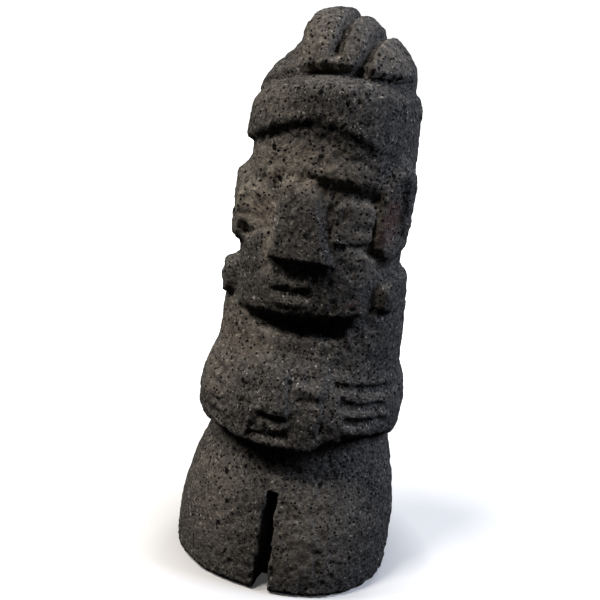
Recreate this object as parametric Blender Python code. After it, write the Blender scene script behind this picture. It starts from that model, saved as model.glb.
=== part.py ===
"""A carved idol of dark vesicular lava stone, standing on its own cut foot.

The figure is one block: legs, belly with a small mask between two hands, chest, head, headband and crest.
The stone is described by one function, carved(), which is negative inside the stone. A closed net of points
is drawn in onto it, evened out and thinned to flat faces. The figure faces -Y, and +X is to the viewer's right.
"""

import math

import bpy
import numpy as np

# Heights of the carved parts, from the ground up, in metres
LEG_HEIGHT = 0.0757
BELLY_HEIGHT = 0.0420
CHEST_HEIGHT = 0.0107
FACE_HEIGHT = 0.0808
BAND_HEIGHT = 0.0185
CREST_HEIGHT = 0.0266

# Sideways lean of the whole figure, for each metre up
LEAN = 0.009

# Half widths, and depths from the upright axis to the front and to the back; side is a shift to the right
FOOT_HALF_WIDTH = 0.0502
FOOT_FRONT = 0.0455
FOOT_BACK = 0.0455
LEG_TOP_SIDE = 0.0024
BELLY_HALF_WIDTH = 0.0457
BELLY_FRONT = 0.0437
BELLY_BACK = 0.0472
CHEST_HALF_WIDTH = 0.0402
CHEST_FRONT = 0.0330
CHEST_BACK = 0.0410
CHEST_SIDE = 0.0008
HEAD_HALF_WIDTH = 0.0352
HEAD_FRONT = 0.0365
HEAD_BACK = 0.0370
HEAD_TOP_SIDE = 0.0010
BAND_HALF_WIDTH = 0.0357
BAND_FRONT = 0.0415
BAND_BACK = 0.0395
BAND_SIDE = -0.0012

# How round each part is in plan: 2 is an ellipse, more is squarer
FOOT_SQUARE = 2.2
BODY_SQUARE = 2.4
BAND_SQUARE = 2.6

# Rounding of the edges of each part, and of the joints between the parts
FOOT_EDGE = 0.0035
BELLY_EDGE = 0.0034
CHEST_EDGE = 0.0040
HEAD_EDGE = 0.0026
BAND_EDGE = 0.0055
FILLET = 0.0020
CHEST_FILLET = 0.0040
OVERLAP = 0.0080

# How softly relief on the stone falls away: most of it, the crispest ledges, and the chisel cuts
SOFT_EDGE = 0.0030
CRISP_EDGE = 0.0014
CUT_EDGE = 0.0026

# The cut between the legs, and the shallower one behind
SLOT_HALF_WIDTH = 0.0028
SLOT_HEIGHT = 0.0460
SLOT_DEPTH = 0.0150
SLOT_SIDE = 0.0010
SLOT_LEAN = 0.016
REAR_CUT_DEPTH = 0.0040

# The small mask on the belly, measured up from the top of the legs
MASK_HALF_WIDTH = 0.0180
MASK_HEIGHT = 0.0340
MASK_DROP = 0.0058
MASK_HANG_SLOPE = 0.0120
MASK_RISE = 0.0015
MASK_NOSE_SIDE = -0.0024
MASK_NOSE_HALF_WIDTH = 0.0064
MASK_NOSE_LOW = 0.0105
MASK_NOSE_HIGH = 0.0290
MASK_NOSE_RISE = 0.0028
MASK_EYE_OUT = 0.0125
MASK_EYE_HALF_WIDTH = 0.0048
MASK_EYE_LOW = 0.0182
MASK_EYE_HIGH = 0.0268
MASK_LID_RISE = 0.0008
MASK_LID_HALF_HEIGHT = 0.0030
MASK_MOUTH_SIDE = -0.0020
MASK_MOUTH_HALF_WIDTH = 0.0075
MASK_MOUTH_LOW = 0.0015
MASK_CHEEK_CUT_HEIGHT = 0.0100

# The fingers at each side of the mask, and the chisel cuts between them
FINGER_CUTS = 4
FINGER_PITCH = 0.0073
FINGER_FIRST_CUT = 0.0048
HAND_REACH = 0.0378
FINGER_START = 0.0235
FINGER_END = 0.0470
FINGER_FALL = 0.14
CUT_HALF_WIDTH = 0.0012
CUT_DEPTH = 0.0020
BELLY_LOW_DROP = 0.0046

# The hollow in the chest under the chin
HOLLOW_HALF_WIDTH = 0.0190
HOLLOW_DEPTH = 0.0045
HOLLOW_SLOPE = 0.0080

# The face, measured up from the chin
FACE_HALF_WIDTH = 0.0290
BROW_RISE = 0.0033
BROW_UP = 0.0592
BROW_SLOPE = 0.0036
BROW_DROP = 0.0040
LEFT_BROW_SOFTER = 2.4
CHEEK_RISE = 0.0026
CHEEK_UP = 0.0286
CHEEK_ARCH = 0.0150
CHIN_TILT = 0.08
NOSE_TIP_UP = 0.0250
NOSE_TIP_SIDE = -0.0006
NOSE_BRIDGE_SIDE = -0.0042
NOSE_TIP_HALF_WIDTH = 0.0144
NOSE_BRIDGE_HALF_WIDTH = 0.0072
NOSE_RISE = 0.0078
NOSE_FLANK = 0.0062
EYE_UP = 0.0432
EYE_OUT = 0.0188
EYE_HALF_WIDTH = 0.0080
EYE_HALF_HEIGHT = 0.0090
EYE_RISE = 0.0026
WORN_EYE_OUT = 0.0235
WORN_EYE_HALF_SIZE = 0.0105
MOUTH_UP = 0.0105
MOUTH_SIDE = -0.0028
MOUTH_HALF_WIDTH = 0.0108
MOUTH_HALF_HEIGHT = 0.0015
MOUTH_DEPTH = 0.0026
SEAM_ROUND = 43
SEAM_DEPTH = 0.0013
SEAM_UP = 0.0310
SEAM_HALF_HEIGHT = 0.0280

# The ears and the round ornaments below them, placed by degrees round from the front
EAR_ROUND = 62
EAR_UP = 0.0439
EAR_TILT = 0.094
EAR_HALF_WIDTH = 0.0128
EAR_HALF_HEIGHT = 0.0205
RIGHT_EAR_TALLER = 0.12
EAR_RISE = 0.0046
EAR_HOLLOW = 0.0034
EAR_HOLLOW_HALF_WIDTH = 0.0058
SPOOL_ROUND = 67
SPOOL_UP = 0.0090
SPOOL_TILT = 0.05
SPOOL_HALF_SIZE = 0.0088
SPOOL_RISE = 0.0066

# The headband, arched over the face and lower at the sides
BAND_LOW_DROP = 0.0155
BAND_LOW_ARCH = 1.4
BAND_TOP_DROP = 0.0100
BAND_TOP_TILT = 0.11
BAND_TAPER = 0.03

# The crest, a fan of lobes that runs from front to back; lean in degrees, and reach in shares of its height
CREST_HALF_LENGTH = 0.0325
CREST_SIDE = -0.0022
CREST_ROOT_DEPTH = 0.0060
CREST_LEANS = (-100, -72, -60, -47, -35, -22, 0, 26, 52, 72, 100)
CREST_SHARES = (1.06, 0.82, 0.745, 0.745, 0.90, 0.97, 1, 0.90, 0.95, 1.015, 0.985)
CREST_SQUARE = 2.6
# The valleys between the lobes: how far across at their feet and at their tops, and the levels of both
VALLEY_FEET = (0.0016, 0.0121)
VALLEY_TOPS = (0.0024, 0.0162)
VALLEY_LOW = 0.0040
VALLEY_HIGH = 0.0263
VALLEY_HALF_WIDTH = 0.0019
VALLEY_DEPTH = 0.0034
# The front of the crest is set back to the left of its main lobe
LEFT_LOBE_EDGE = 0.0128
LEFT_LOBE_SET_BACK = 0.0048
# The cut along the foot of the crest, measured up from the band
CREST_FOOT_UP = 0.0022
CREST_FOOT_HALF_WIDTH = 0.0015
CREST_FOOT_DEPTH = 0.0038

# The net of points, and the number of flat faces that are kept
COLUMNS = 288
SIDE_ROWS = 132
TOP_ROWS = 30
UNDERSIDE_RINGS = 4
EVENING_ROUNDS = 8
KEPT_TRIANGLES = 8600

BELLY_TOP = LEG_HEIGHT + BELLY_HEIGHT
CHIN = BELLY_TOP + CHEST_HEIGHT
BAND_LOW = CHIN + FACE_HEIGHT
BAND_TOP = BAND_LOW + BAND_HEIGHT
CREST_ROOT = BAND_TOP - CREST_ROOT_DEPTH
CREST_REACH = CREST_ROOT_DEPTH + CREST_HEIGHT
FAR_OUT = 1.35 * max(FOOT_HALF_WIDTH, FOOT_FRONT, FOOT_BACK, BELLY_HALF_WIDTH, BELLY_FRONT, BELLY_BACK)


def ramp(value, low, high):
    """0 up to low, 1 from high, with a soft rise between them."""
    share = np.clip((value - low) / (high - low), 0, 1)
    return share * share * (3 - 2 * share)


def window(offset, half, soft):
    """1 where the offset is well inside the half width, 0 outside it, with soft edges."""
    return 1 - ramp(np.abs(offset), half - soft / 2, half + soft / 2)


def join(first, second, soft):
    """The union of two bodies, with a fillet of about the given size."""
    share = np.clip(0.5 + 0.5 * (second - first) / soft, 0, 1)
    return second + (first - second) * share - soft * share * (1 - share)


def cut(body, tool, soft):
    """The body with the tool taken out of it, and the edge of the cut rounded."""
    return -join(-body, tool, soft)


def outline(x, y, half_width, front, back, square):
    """Distance from the axis to a rounded outline, in the direction of each point."""
    away = np.hypot(x, y) + 1e-9
    depth = np.where(y < 0, front, back)
    share = (np.abs(x) / away / half_width) ** square + (np.abs(y) / away / depth) ** square
    return share ** (-1 / square)


def slab(beyond, z, low, high, edge):
    """A body between two levels, where beyond is the distance outside its upright face."""
    across = beyond + edge
    upright = np.abs(z - (low + high) / 2) - (high - low) / 2 + edge
    outside = np.hypot(np.maximum(across, 0), np.maximum(upright, 0))
    return outside + np.minimum(np.maximum(across, upright), 0) - edge


def oval(across, up, half_width, half_height, square):
    """0 in the middle of a rounded patch on the stone, 1 on its edge and more outside it."""
    return (np.abs(across / half_width) ** square + np.abs(up / half_height) ** square) ** (1 / square)


def taper(z, low, high, *shares):
    """A share that changes evenly through the given values from one level to another."""
    return np.interp(z, np.linspace(low, high, len(shares)), shares)


def legs(x, y, z):
    """The two legs as one block, with the cut between them."""
    size = taper(z, 0, LEG_HEIGHT, 1, 1, 0.983, 0.925, 0.84, 0.75)
    half_width = FOOT_HALF_WIDTH * taper(z, 0, LEG_HEIGHT, 1, 1, 1, 1, 0.995, 0.985)
    inward = x - LEG_TOP_SIDE * (z / LEG_HEIGHT) ** 2
    edge = outline(inward, y, half_width, FOOT_FRONT, FOOT_BACK, FOOT_SQUARE) * size
    body = slab(np.hypot(inward, y) - edge, z, 0, LEG_HEIGHT + OVERLAP, FOOT_EDGE)
    across = np.abs(x - SLOT_SIDE - SLOT_LEAN * z) - SLOT_HALF_WIDTH * taper(z, 0, SLOT_HEIGHT, 1.2, 1, 0.85)
    below = z - SLOT_HEIGHT
    slot = np.maximum(np.maximum(across, y + FOOT_FRONT - SLOT_DEPTH), below)
    rear = np.maximum(np.maximum(across, FOOT_BACK - REAR_CUT_DEPTH - y), below)
    return cut(cut(body, slot, FILLET), rear, FILLET)


def mask(x, y, z):
    """How far the small mask stands out from the belly."""
    up = z - LEG_HEIGHT
    under_top = 1 - ramp(up, MASK_HEIGHT - SOFT_EDGE / 2, MASK_HEIGHT + SOFT_EDGE / 2)
    rise = MASK_RISE * window(x, MASK_HALF_WIDTH, SOFT_EDGE) * under_top
    high = (up - MASK_NOSE_LOW) / (MASK_NOSE_HIGH - MASK_NOSE_LOW)
    nose_width = MASK_NOSE_HALF_WIDTH * taper(high, 0, 1, 1.15, 0.65)
    over_tip = ramp(up, MASK_NOSE_LOW - CRISP_EDGE / 2, MASK_NOSE_LOW + CRISP_EDGE / 2)
    nose = over_tip * (1 - ramp(high, 0.75, 1.15))
    rise = rise + MASK_NOSE_RISE * nose * window(x - MASK_NOSE_SIDE, nose_width, SOFT_EDGE)
    out = window(np.abs(x) - MASK_EYE_OUT, MASK_EYE_HALF_WIDTH, SOFT_EDGE)
    for level in (MASK_EYE_LOW, MASK_EYE_HIGH):
        rise = rise - CUT_DEPTH * out * window(up - level, CUT_HALF_WIDTH, CUT_EDGE)
    lid = (MASK_EYE_LOW + MASK_EYE_HIGH) / 2
    rise = rise + MASK_LID_RISE * out * window(up - lid, MASK_LID_HALF_HEIGHT, SOFT_EDGE)
    mouth = window(x - MASK_MOUTH_SIDE, MASK_MOUTH_HALF_WIDTH, SOFT_EDGE)
    rise = rise - CUT_DEPTH * mouth * window(up - MASK_MOUTH_LOW, CUT_HALF_WIDTH, CUT_EDGE)
    cheek = window(np.abs(x) - MASK_HALF_WIDTH, CUT_HALF_WIDTH, CUT_EDGE)
    rise = rise - 0.6 * CUT_DEPTH * cheek * window(up, MASK_CHEEK_CUT_HEIGHT, 2 * SOFT_EDGE)
    return np.where(y < 0, rise, 0)


def hands(z, along):
    """The chisel cuts between the fingers, as a depth to take from the belly."""
    span = ramp(along, FINGER_START - SOFT_EDGE / 2, FINGER_START + SOFT_EDGE / 2)
    span = span * (1 - ramp(along, FINGER_END - 2 * SOFT_EDGE, FINGER_END + SOFT_EDGE))
    cuts = 0
    for number in range(FINGER_CUTS):
        level = LEG_HEIGHT + FINGER_FIRST_CUT + number * FINGER_PITCH - FINGER_FALL * (along - FINGER_START)
        cuts = cuts + window(z - level, CUT_HALF_WIDTH, CUT_EDGE)
    return CUT_DEPTH * span * cuts


def belly(x, y, z, away, along):
    """The belly block, whose mask hangs low in front, and which reaches lower at the left and behind."""
    size = taper(z, LEG_HEIGHT, BELLY_TOP, 1, 1.01, 0.98, 0.91, 0.80, 0.72)
    edge = outline(x, y, BELLY_HALF_WIDTH, BELLY_FRONT, BELLY_BACK, BODY_SQUARE) * size
    hang = MASK_DROP * window(x, MASK_HALF_WIDTH, MASK_HANG_SLOPE) * ramp(-y, 0, BELLY_FRONT / 2)
    behind = ramp(y, -BELLY_FRONT / 2, 0)
    left = ramp(-x, BELLY_HALF_WIDTH / 4, BELLY_HALF_WIDTH / 2)
    left = left * (1 - 0.6 * ramp(-x, 0.75 * BELLY_HALF_WIDTH, BELLY_HALF_WIDTH))
    hang = hang + BELLY_LOW_DROP * np.maximum(behind, left)
    beyond = away - edge - mask(x, y, z) + hands(z, along)
    return slab(beyond, z, LEG_HEIGHT - hang, BELLY_TOP, BELLY_EDGE)


def chest(x, y, z):
    """The chest and shoulders, set back under the chin."""
    across = x - CHEST_SIDE
    edge = outline(across, y, CHEST_HALF_WIDTH, CHEST_FRONT, CHEST_BACK, BODY_SQUARE)
    edge = edge * taper(z, BELLY_TOP, CHIN + 2 * OVERLAP, 1.02, 1, 0.96)
    hollow = HOLLOW_DEPTH * window(x, HOLLOW_HALF_WIDTH, 4 * SOFT_EDGE) * (y < 0)
    hollow = hollow * ramp(z, CHIN - CHEST_HEIGHT, CHIN - CHEST_HEIGHT + HOLLOW_SLOPE)
    beyond = np.hypot(across, y) - edge + hollow
    return slab(beyond, z, BELLY_TOP - 2 * OVERLAP, CHIN + 2 * OVERLAP, CHEST_EDGE)


def face(x, y, z):
    """How far brow, cheeks, nose and eyes stand out from the front of the head, less the mouth."""
    up = z - CHIN
    aside = np.clip(np.abs(x) / FACE_HALF_WIDTH, 0, 1)
    wide = window(x, FACE_HALF_WIDTH, 2 * SOFT_EDGE)
    brow = BROW_UP - BROW_DROP * aside**2
    slope = BROW_SLOPE * (1 + LEFT_BROW_SOFTER * ramp(-x, FACE_HALF_WIDTH / 7, FACE_HALF_WIDTH / 2))
    rise = BROW_RISE * wide * ramp(up, brow - slope, brow + slope)
    cheek = CHEEK_UP + CHEEK_ARCH * (1 - aside)
    rise = rise + CHEEK_RISE * wide * (1 - ramp(up, cheek - SOFT_EDGE / 2, cheek + SOFT_EDGE / 2))
    high = (up - NOSE_TIP_UP) / (BROW_UP - NOSE_TIP_UP)
    nose_width = taper(high, 0, 1, NOSE_TIP_HALF_WIDTH, NOSE_BRIDGE_HALF_WIDTH)
    nose_rise = taper(high, 0, 1, NOSE_RISE, BROW_RISE)
    over_tip = ramp(up, NOSE_TIP_UP - CRISP_EDGE / 2, NOSE_TIP_UP + CRISP_EDGE / 2)
    nose_side = taper(high, 0, 1, NOSE_TIP_SIDE, NOSE_BRIDGE_SIDE)
    nose = window(x - nose_side, nose_width, NOSE_FLANK) * over_tip
    rise = np.maximum(rise, nose * nose_rise * (1 - ramp(high, 0.9, 1.15)))
    eye = oval(x - EYE_OUT, up - EYE_UP, EYE_HALF_WIDTH, EYE_HALF_HEIGHT, 4.5)
    rise = rise + EYE_RISE * (1 - ramp(eye, 0.88, 1.04))
    worn_eye = oval(x + WORN_EYE_OUT, up - EYE_UP, WORN_EYE_HALF_SIZE, WORN_EYE_HALF_SIZE, 2.3)
    rise = rise + EYE_RISE * (1 - ramp(worn_eye, 0.65, 1.1))
    mouth = window(x - MOUTH_SIDE, MOUTH_HALF_WIDTH, SOFT_EDGE)
    rise = rise - MOUTH_DEPTH * mouth * window(up - MOUTH_UP, MOUTH_HALF_HEIGHT, CRISP_EDGE)
    return np.where(y < 0, rise, 0)


def ears(x, z, turn):
    """How far the ears and their ornaments stand out from the sides of the head."""
    up = z - CHIN
    arc = HEAD_HALF_WIDTH * (turn - math.radians(EAR_ROUND))
    level = up - EAR_UP - EAR_TILT * x
    half_height = EAR_HALF_HEIGHT * (1 + RIGHT_EAR_TALLER * np.sign(x))
    ear = oval(arc, level, EAR_HALF_WIDTH, half_height, 2.6)
    inner = oval(arc, level, EAR_HOLLOW_HALF_WIDTH, 0.6 * half_height, 2.4)
    rise = EAR_RISE * (1 - ramp(ear, 0.78, 1.06)) - EAR_HOLLOW * (1 - ramp(inner, 0.7, 1.15))
    arc = HEAD_HALF_WIDTH * (turn - math.radians(SPOOL_ROUND))
    spool = oval(arc, up - SPOOL_UP - SPOOL_TILT * x, 1.1 * SPOOL_HALF_SIZE, SPOOL_HALF_SIZE, 2.8)
    return rise + SPOOL_RISE * (1 - ramp(spool, 0.82, 1.1))


def head(x, y, z, turn):
    """The head from the chin to under the band, with a seam between the face and each ear."""
    across = x - HEAD_TOP_SIDE * ramp(z, CHIN + FACE_HEIGHT / 2, BAND_LOW)
    edge = outline(across, y, HEAD_HALF_WIDTH, HEAD_FRONT, HEAD_BACK, BODY_SQUARE)
    edge = edge * taper(z, CHIN, BAND_LOW, 0.97, 0.985, 1, 0.99, 0.94)
    seam = window(turn - math.radians(SEAM_ROUND), 0.030, 0.035)
    seam = SEAM_DEPTH * seam * window(z - CHIN - SEAM_UP, SEAM_HALF_HEIGHT, 0.3 * SEAM_HALF_HEIGHT)
    beyond = np.hypot(across, y) - edge - face(x, y, z) - ears(x, z, turn) + seam
    return slab(beyond, z, CHIN + CHIN_TILT * x, BAND_LOW + OVERLAP, HEAD_EDGE)


def band_top(x, y):
    """The level of the top of the band, lower at the sides and behind."""
    aside = np.abs(x) / BAND_HALF_WIDTH
    behind = 3 * np.maximum(y, 0) / BAND_BACK
    return BAND_TOP - BAND_TOP_DROP * np.clip(aside**2 + behind, 0, 1) + BAND_TOP_TILT * x


def band(x, y, z):
    """The padded headband, arched over the face."""
    aside = np.abs(x) / BAND_HALF_WIDTH
    behind = 3 * np.maximum(y, 0) / BAND_BACK
    low = BAND_LOW - BAND_LOW_DROP * np.clip(aside**BAND_LOW_ARCH + behind, 0, 1)
    high = band_top(x, y)
    edge = outline(x - BAND_SIDE, y, BAND_HALF_WIDTH, BAND_FRONT, BAND_BACK, BAND_SQUARE)
    edge = edge * (1 - BAND_TAPER * np.clip((z - low) / (high - low), 0, 1))
    return slab(np.hypot(x - BAND_SIDE, y) - edge, z, low, high, BAND_EDGE)


def crest(x, y, z):
    """The fan of lobes over the head, from front to back, with valleys between them."""
    across = x - CREST_SIDE
    up = z - CREST_ROOT
    lean = np.degrees(np.arctan2(across, up))
    reach = CREST_REACH * np.interp(lean, CREST_LEANS, CREST_SHARES)
    radial = np.hypot(across, up)
    share = (radial / reach) ** CREST_SQUARE + (np.abs(y) / CREST_HALF_LENGTH) ** CREST_SQUARE + 1e-9
    body = (1 - share ** (-1 / CREST_SQUARE)) * np.hypot(radial, y)
    high = (z - BAND_TOP - VALLEY_LOW) / (VALLEY_HIGH - VALLEY_LOW)
    for foot, top in zip(VALLEY_FEET, VALLEY_TOPS):
        gap = x - foot - (top - foot) * np.clip(high, 0, 1)
        body = body + VALLEY_DEPTH * np.exp(-((gap / VALLEY_HALF_WIDTH) ** 2)) * ramp(high, -0.15, 0.1)
    left = ramp(-x - LEFT_LOBE_EDGE, 0, SOFT_EDGE) * ramp(-y, 0, CREST_HALF_LENGTH / 3)
    foot = window(z - band_top(x, y) - CREST_FOOT_UP, CREST_FOOT_HALF_WIDTH, CRISP_EDGE)
    foot = foot * ramp(-y, 0, CREST_HALF_LENGTH / 2)
    return body + LEFT_LOBE_SET_BACK * left + CREST_FOOT_DEPTH * foot


def carved(points):
    """Distance outside the stone of each point, negative inside it."""
    y, z = points[..., 1], points[..., 2]
    x = points[..., 0] - LEAN * z
    away = np.hypot(x, y)
    turn = np.abs(np.arctan2(x, -y))
    stone = join(legs(x, y, z), belly(x, y, z, away, HAND_REACH * turn), FILLET)
    stone = join(stone, chest(x, y, z), CHEST_FILLET)
    stone = join(stone, head(x, y, z, turn), FILLET)
    stone = join(stone, band(x, y, z), FILLET)
    return join(stone, crest(x, y, z), FILLET)


def rays():
    """Start and direction of each point's way in: level at the sides, then fanned over the top."""
    turn = 2 * math.pi * np.linspace(0, 1, COLUMNS, endpoint=False)
    closer_in_front = 0.42 * np.sin(turn)
    angle = turn - 0.5 * math.pi - closer_in_front
    centre = CREST_ROOT - OVERLAP
    levels = np.linspace(0.0001, centre, SIDE_ROWS, endpoint=False)
    climb = np.linspace(0, 0.5 * math.pi, TOP_ROWS, endpoint=False)
    height = np.concatenate([levels, np.full(TOP_ROWS, centre)])[:, None]
    lift = np.concatenate([np.zeros(SIDE_ROWS), climb])[:, None]
    flat = np.cos(lift)
    ways = np.stack([flat * np.cos(angle), flat * np.sin(angle), np.sin(lift) + 0 * angle], axis=-1)
    starts = np.zeros_like(ways)
    starts[..., 2] = height
    return starts, ways


def drawn_in(starts, ways):
    """The first place on each way, coming from outside, where the stone begins."""
    nearest = 0.002
    outside = np.full(starts.shape[:2], FAR_OUT)
    inside = np.full(starts.shape[:2], nearest)
    found = np.zeros(starts.shape[:2], bool)
    for step in np.linspace(FAR_OUT, nearest, 64)[1:]:
        hit = (carved(starts + step * ways) < 0) & ~found
        inside[hit] = step
        found |= hit
        outside[~found] = step
    for _ in range(10):
        middle = (outside + inside) / 2
        deep = carved(starts + middle[..., None] * ways) < 0
        inside = np.where(deep, middle, inside)
        outside = np.where(deep, outside, middle)
    return starts + outside[..., None] * ways


def slope_of(points, value):
    """The way in which the stone's function grows fastest, at each point."""
    step = 0.00005
    return np.stack([(carved(points + step * axis) - value) / step for axis in np.eye(3)], axis=-1)


def onto_stone(points):
    """The points moved along the slope of the stone's function until they lie on it."""
    for _ in range(2):
        value = carved(points)
        slope = slope_of(points, value)
        size = np.maximum((slope**2).sum(-1), 0.25)
        points = points - np.clip(value / size, -0.0015, 0.0015)[..., None] * slope
    return points


def evened(points, top):
    """The net with its points slid along the stone to lie evenly over ledges and cuts."""
    for _ in range(EVENING_ROUNDS):
        around = np.roll(points, 1, axis=1) + np.roll(points, -1, axis=1)
        above = np.concatenate([points[1:], np.broadcast_to(top, points[:1].shape)])
        below = np.concatenate([points[:1], points[:-1]])
        pull = 0.5 * ((around + above + below) / 4 - points)
        slope = slope_of(points, carved(points))
        slope = slope / np.maximum(np.linalg.norm(slope, axis=-1, keepdims=True), 1e-6)
        pull = pull - (pull * slope).sum(-1, keepdims=True) * slope
        moved = onto_stone(points + pull)
        moved[0] = points[0]
        moved[1:, :, 2] = np.maximum(moved[1:, :, 2], 0.0002)
        points = moved
    return points


def statue_points():
    """The net's points from the rings of the underside up, then the middle of the foot and the crown."""
    starts, ways = rays()
    net = drawn_in(starts, ways)
    crown = drawn_in(starts[-1:, :1], np.array([[[0.0, 0.0, 1.0]]]))[0, 0]
    net = evened(net, crown)
    net[0, :, 2] = 0
    shares = np.linspace(0, 1, UNDERSIDE_RINGS + 1)[1:-1]
    underside = shares[:, None, None] * net[0]
    points = np.concatenate([underside.reshape(-1, 3), net.reshape(-1, 3), [[0, 0, 0], crown]])
    points[:, :2] -= (points.min(axis=0)[:2] + points.max(axis=0)[:2]) / 2
    return points


def net_faces(count):
    """Quads between the rings of the net, closed by triangles at the foot and at the crown."""
    rows = np.arange(count - 2).reshape(-1, COLUMNS)
    following = np.roll(rows, -1, axis=1)
    quads = np.stack([rows[:-1], following[:-1], following[1:], rows[1:]], axis=-1).reshape(-1, 4)
    foot = np.full(COLUMNS, count - 2)
    crown = np.full(COLUMNS, count - 1)
    under = np.stack([following[0], rows[0], foot], axis=1)
    over = np.stack([rows[-1], following[-1], crown], axis=1)
    return quads.tolist() + under.tolist() + over.tolist()


def lava_stone():
    """Dark grey brown vesicular stone, dry and matt."""
    material = bpy.data.materials.new("lava stone")
    material.use_nodes = True
    shader = material.node_tree.nodes["Principled BSDF"]
    shader.inputs["Base Color"].default_value = (0.060, 0.052, 0.046, 1)
    shader.inputs["Roughness"].default_value = 0.92
    shader.inputs["Metallic"].default_value = 0
    return material


def main():
    for old in list(bpy.data.objects):
        bpy.data.objects.remove(old, do_unlink=True)
    points = statue_points()
    faces = net_faces(len(points))
    mesh = bpy.data.meshes.new("statue")
    mesh.from_pydata(points.tolist(), [], faces)
    mesh.materials.append(lava_stone())
    mesh.shade_smooth()
    statue = bpy.data.objects.new("statue", mesh)
    bpy.context.collection.objects.link(statue)
    thinned = statue.modifiers.new("flat faces", "DECIMATE")
    thinned.ratio = KEPT_TRIANGLES / sum(len(face) - 2 for face in faces)


main()
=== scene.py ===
# A carved idol of dark vesicular lava stone on a pale floor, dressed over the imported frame.
# The stone is one closed surface. A function of place, carvedStone, is negative inside the stone, and a grid
# of points is drawn in onto it, evened out, and then worn, chipped and pitted along its own normals.
import math

import bpy
import numpy as np
from mathutils import Matrix, Vector


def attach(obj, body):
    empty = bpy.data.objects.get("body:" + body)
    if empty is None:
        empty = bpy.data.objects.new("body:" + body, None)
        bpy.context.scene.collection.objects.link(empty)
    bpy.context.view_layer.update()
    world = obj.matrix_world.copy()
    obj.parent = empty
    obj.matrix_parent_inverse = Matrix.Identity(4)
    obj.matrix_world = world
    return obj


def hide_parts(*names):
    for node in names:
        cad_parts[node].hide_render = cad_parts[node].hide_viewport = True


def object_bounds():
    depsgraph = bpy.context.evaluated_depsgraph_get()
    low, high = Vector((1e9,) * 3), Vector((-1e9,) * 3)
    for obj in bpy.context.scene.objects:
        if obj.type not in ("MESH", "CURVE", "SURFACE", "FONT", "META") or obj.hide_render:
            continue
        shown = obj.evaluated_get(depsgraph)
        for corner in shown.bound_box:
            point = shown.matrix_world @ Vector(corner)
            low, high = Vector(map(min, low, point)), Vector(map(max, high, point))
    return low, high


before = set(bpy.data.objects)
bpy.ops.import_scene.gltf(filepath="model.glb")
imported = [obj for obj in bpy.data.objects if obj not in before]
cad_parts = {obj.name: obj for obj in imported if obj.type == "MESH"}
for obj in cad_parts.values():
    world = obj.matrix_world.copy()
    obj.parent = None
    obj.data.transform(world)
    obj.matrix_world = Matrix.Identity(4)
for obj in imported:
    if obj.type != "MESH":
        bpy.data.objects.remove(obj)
cadLow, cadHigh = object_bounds()
print("frame loaded, box", [round(v, 4) for v in cadLow], [round(v, 4) for v in cadHigh])


# shared helpers for shapes

def ramp(value, low, high):
    # 0 up to low, 1 from high, a smooth cubic rise between them
    share = np.clip((value - low) / (high - low), 0, 1)
    return share * share * (3 - 2 * share)


def above(value, level, soft):
    # 0 below a level, 1 above it, rising over the soft distance
    return ramp(value, level - soft / 2, level + soft / 2)


def window(offset, half, soft):
    # 1 inside the half width, 0 outside it, falling over the soft distance
    return 1 - ramp(np.abs(offset), half - soft / 2, half + soft / 2)


def join(first, second, soft):
    # union of two bodies: the smaller distance, blended over the soft distance
    share = np.clip(0.5 + 0.5 * (second - first) / soft, 0, 1)
    return second + (first - second) * share - soft * share * (1 - share)


def cut(body, tool, soft):
    # the body less the tool: the union turned inside out
    return -join(-body, tool, soft)


def outline(x, y, halfWidth, front, back, square):
    # distance from the axis to |x/w|^n + |y/d|^n = 1 in the direction of each point
    away = np.hypot(x, y) + 1e-9
    depth = np.where(y < 0, front, back)
    share = (np.abs(x) / away / halfWidth) ** square + (np.abs(y) / away / depth) ** square
    return share ** (-1 / square)


def slab(beyond, z, low, high, edge):
    # body between two levels with rounded rims: distance to a rounded rectangle in (beyond, z)
    across = beyond + edge
    upright = np.abs(z - (low + high) / 2) - (high - low) / 2 + edge
    outside = np.hypot(np.maximum(across, 0), np.maximum(upright, 0))
    return outside + np.minimum(np.maximum(across, upright), 0) - edge


def oval(across, up, halfWidth, halfHeight, square):
    # 0 in the middle of a patch, 1 on its rounded rim
    return (np.abs(across / halfWidth) ** square + np.abs(up / halfHeight) ** square) ** (1 / square)


def taper(z, low, high, *shares):
    # even steps through the given shares from one level to another
    return np.interp(z, np.linspace(low, high, len(shares)), shares)


def offLine(x, z, start, end):
    # distance from a straight line between two points of the front
    ax, az = start
    bx, bz = end
    length2 = (bx - ax) ** 2 + (bz - az) ** 2
    along = np.clip(((x - ax) * (bx - ax) + (z - az) * (bz - az)) / length2, 0, 1)
    return np.hypot(x - ax - along * (bx - ax), z - az - along * (bz - az))


def stroke(x, z, start, end, half, soft):
    # 1 along a straight chisel line from start to end, 0 away from it
    return window(offLine(x, z, start, end), half, soft)


# levels of the carving, in metres up from the ground, and how far it leans sideways for each metre up
levels = {
    "belly": 0.0757,
    "bellyTop": 0.1177,
    "chin": 0.1284,
    "bandLow": 0.2092,
    "bandTop": 0.2277,
    "crestRoot": 0.2217,
    "lean": 0.009,
}

# how far edges and joins are rounded, and how deep one block runs into the next
soft = {"edge": 0.0026, "crisp": 0.0011, "cut": 0.0022, "fillet": 0.0016, "overlap": 0.008}

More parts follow.
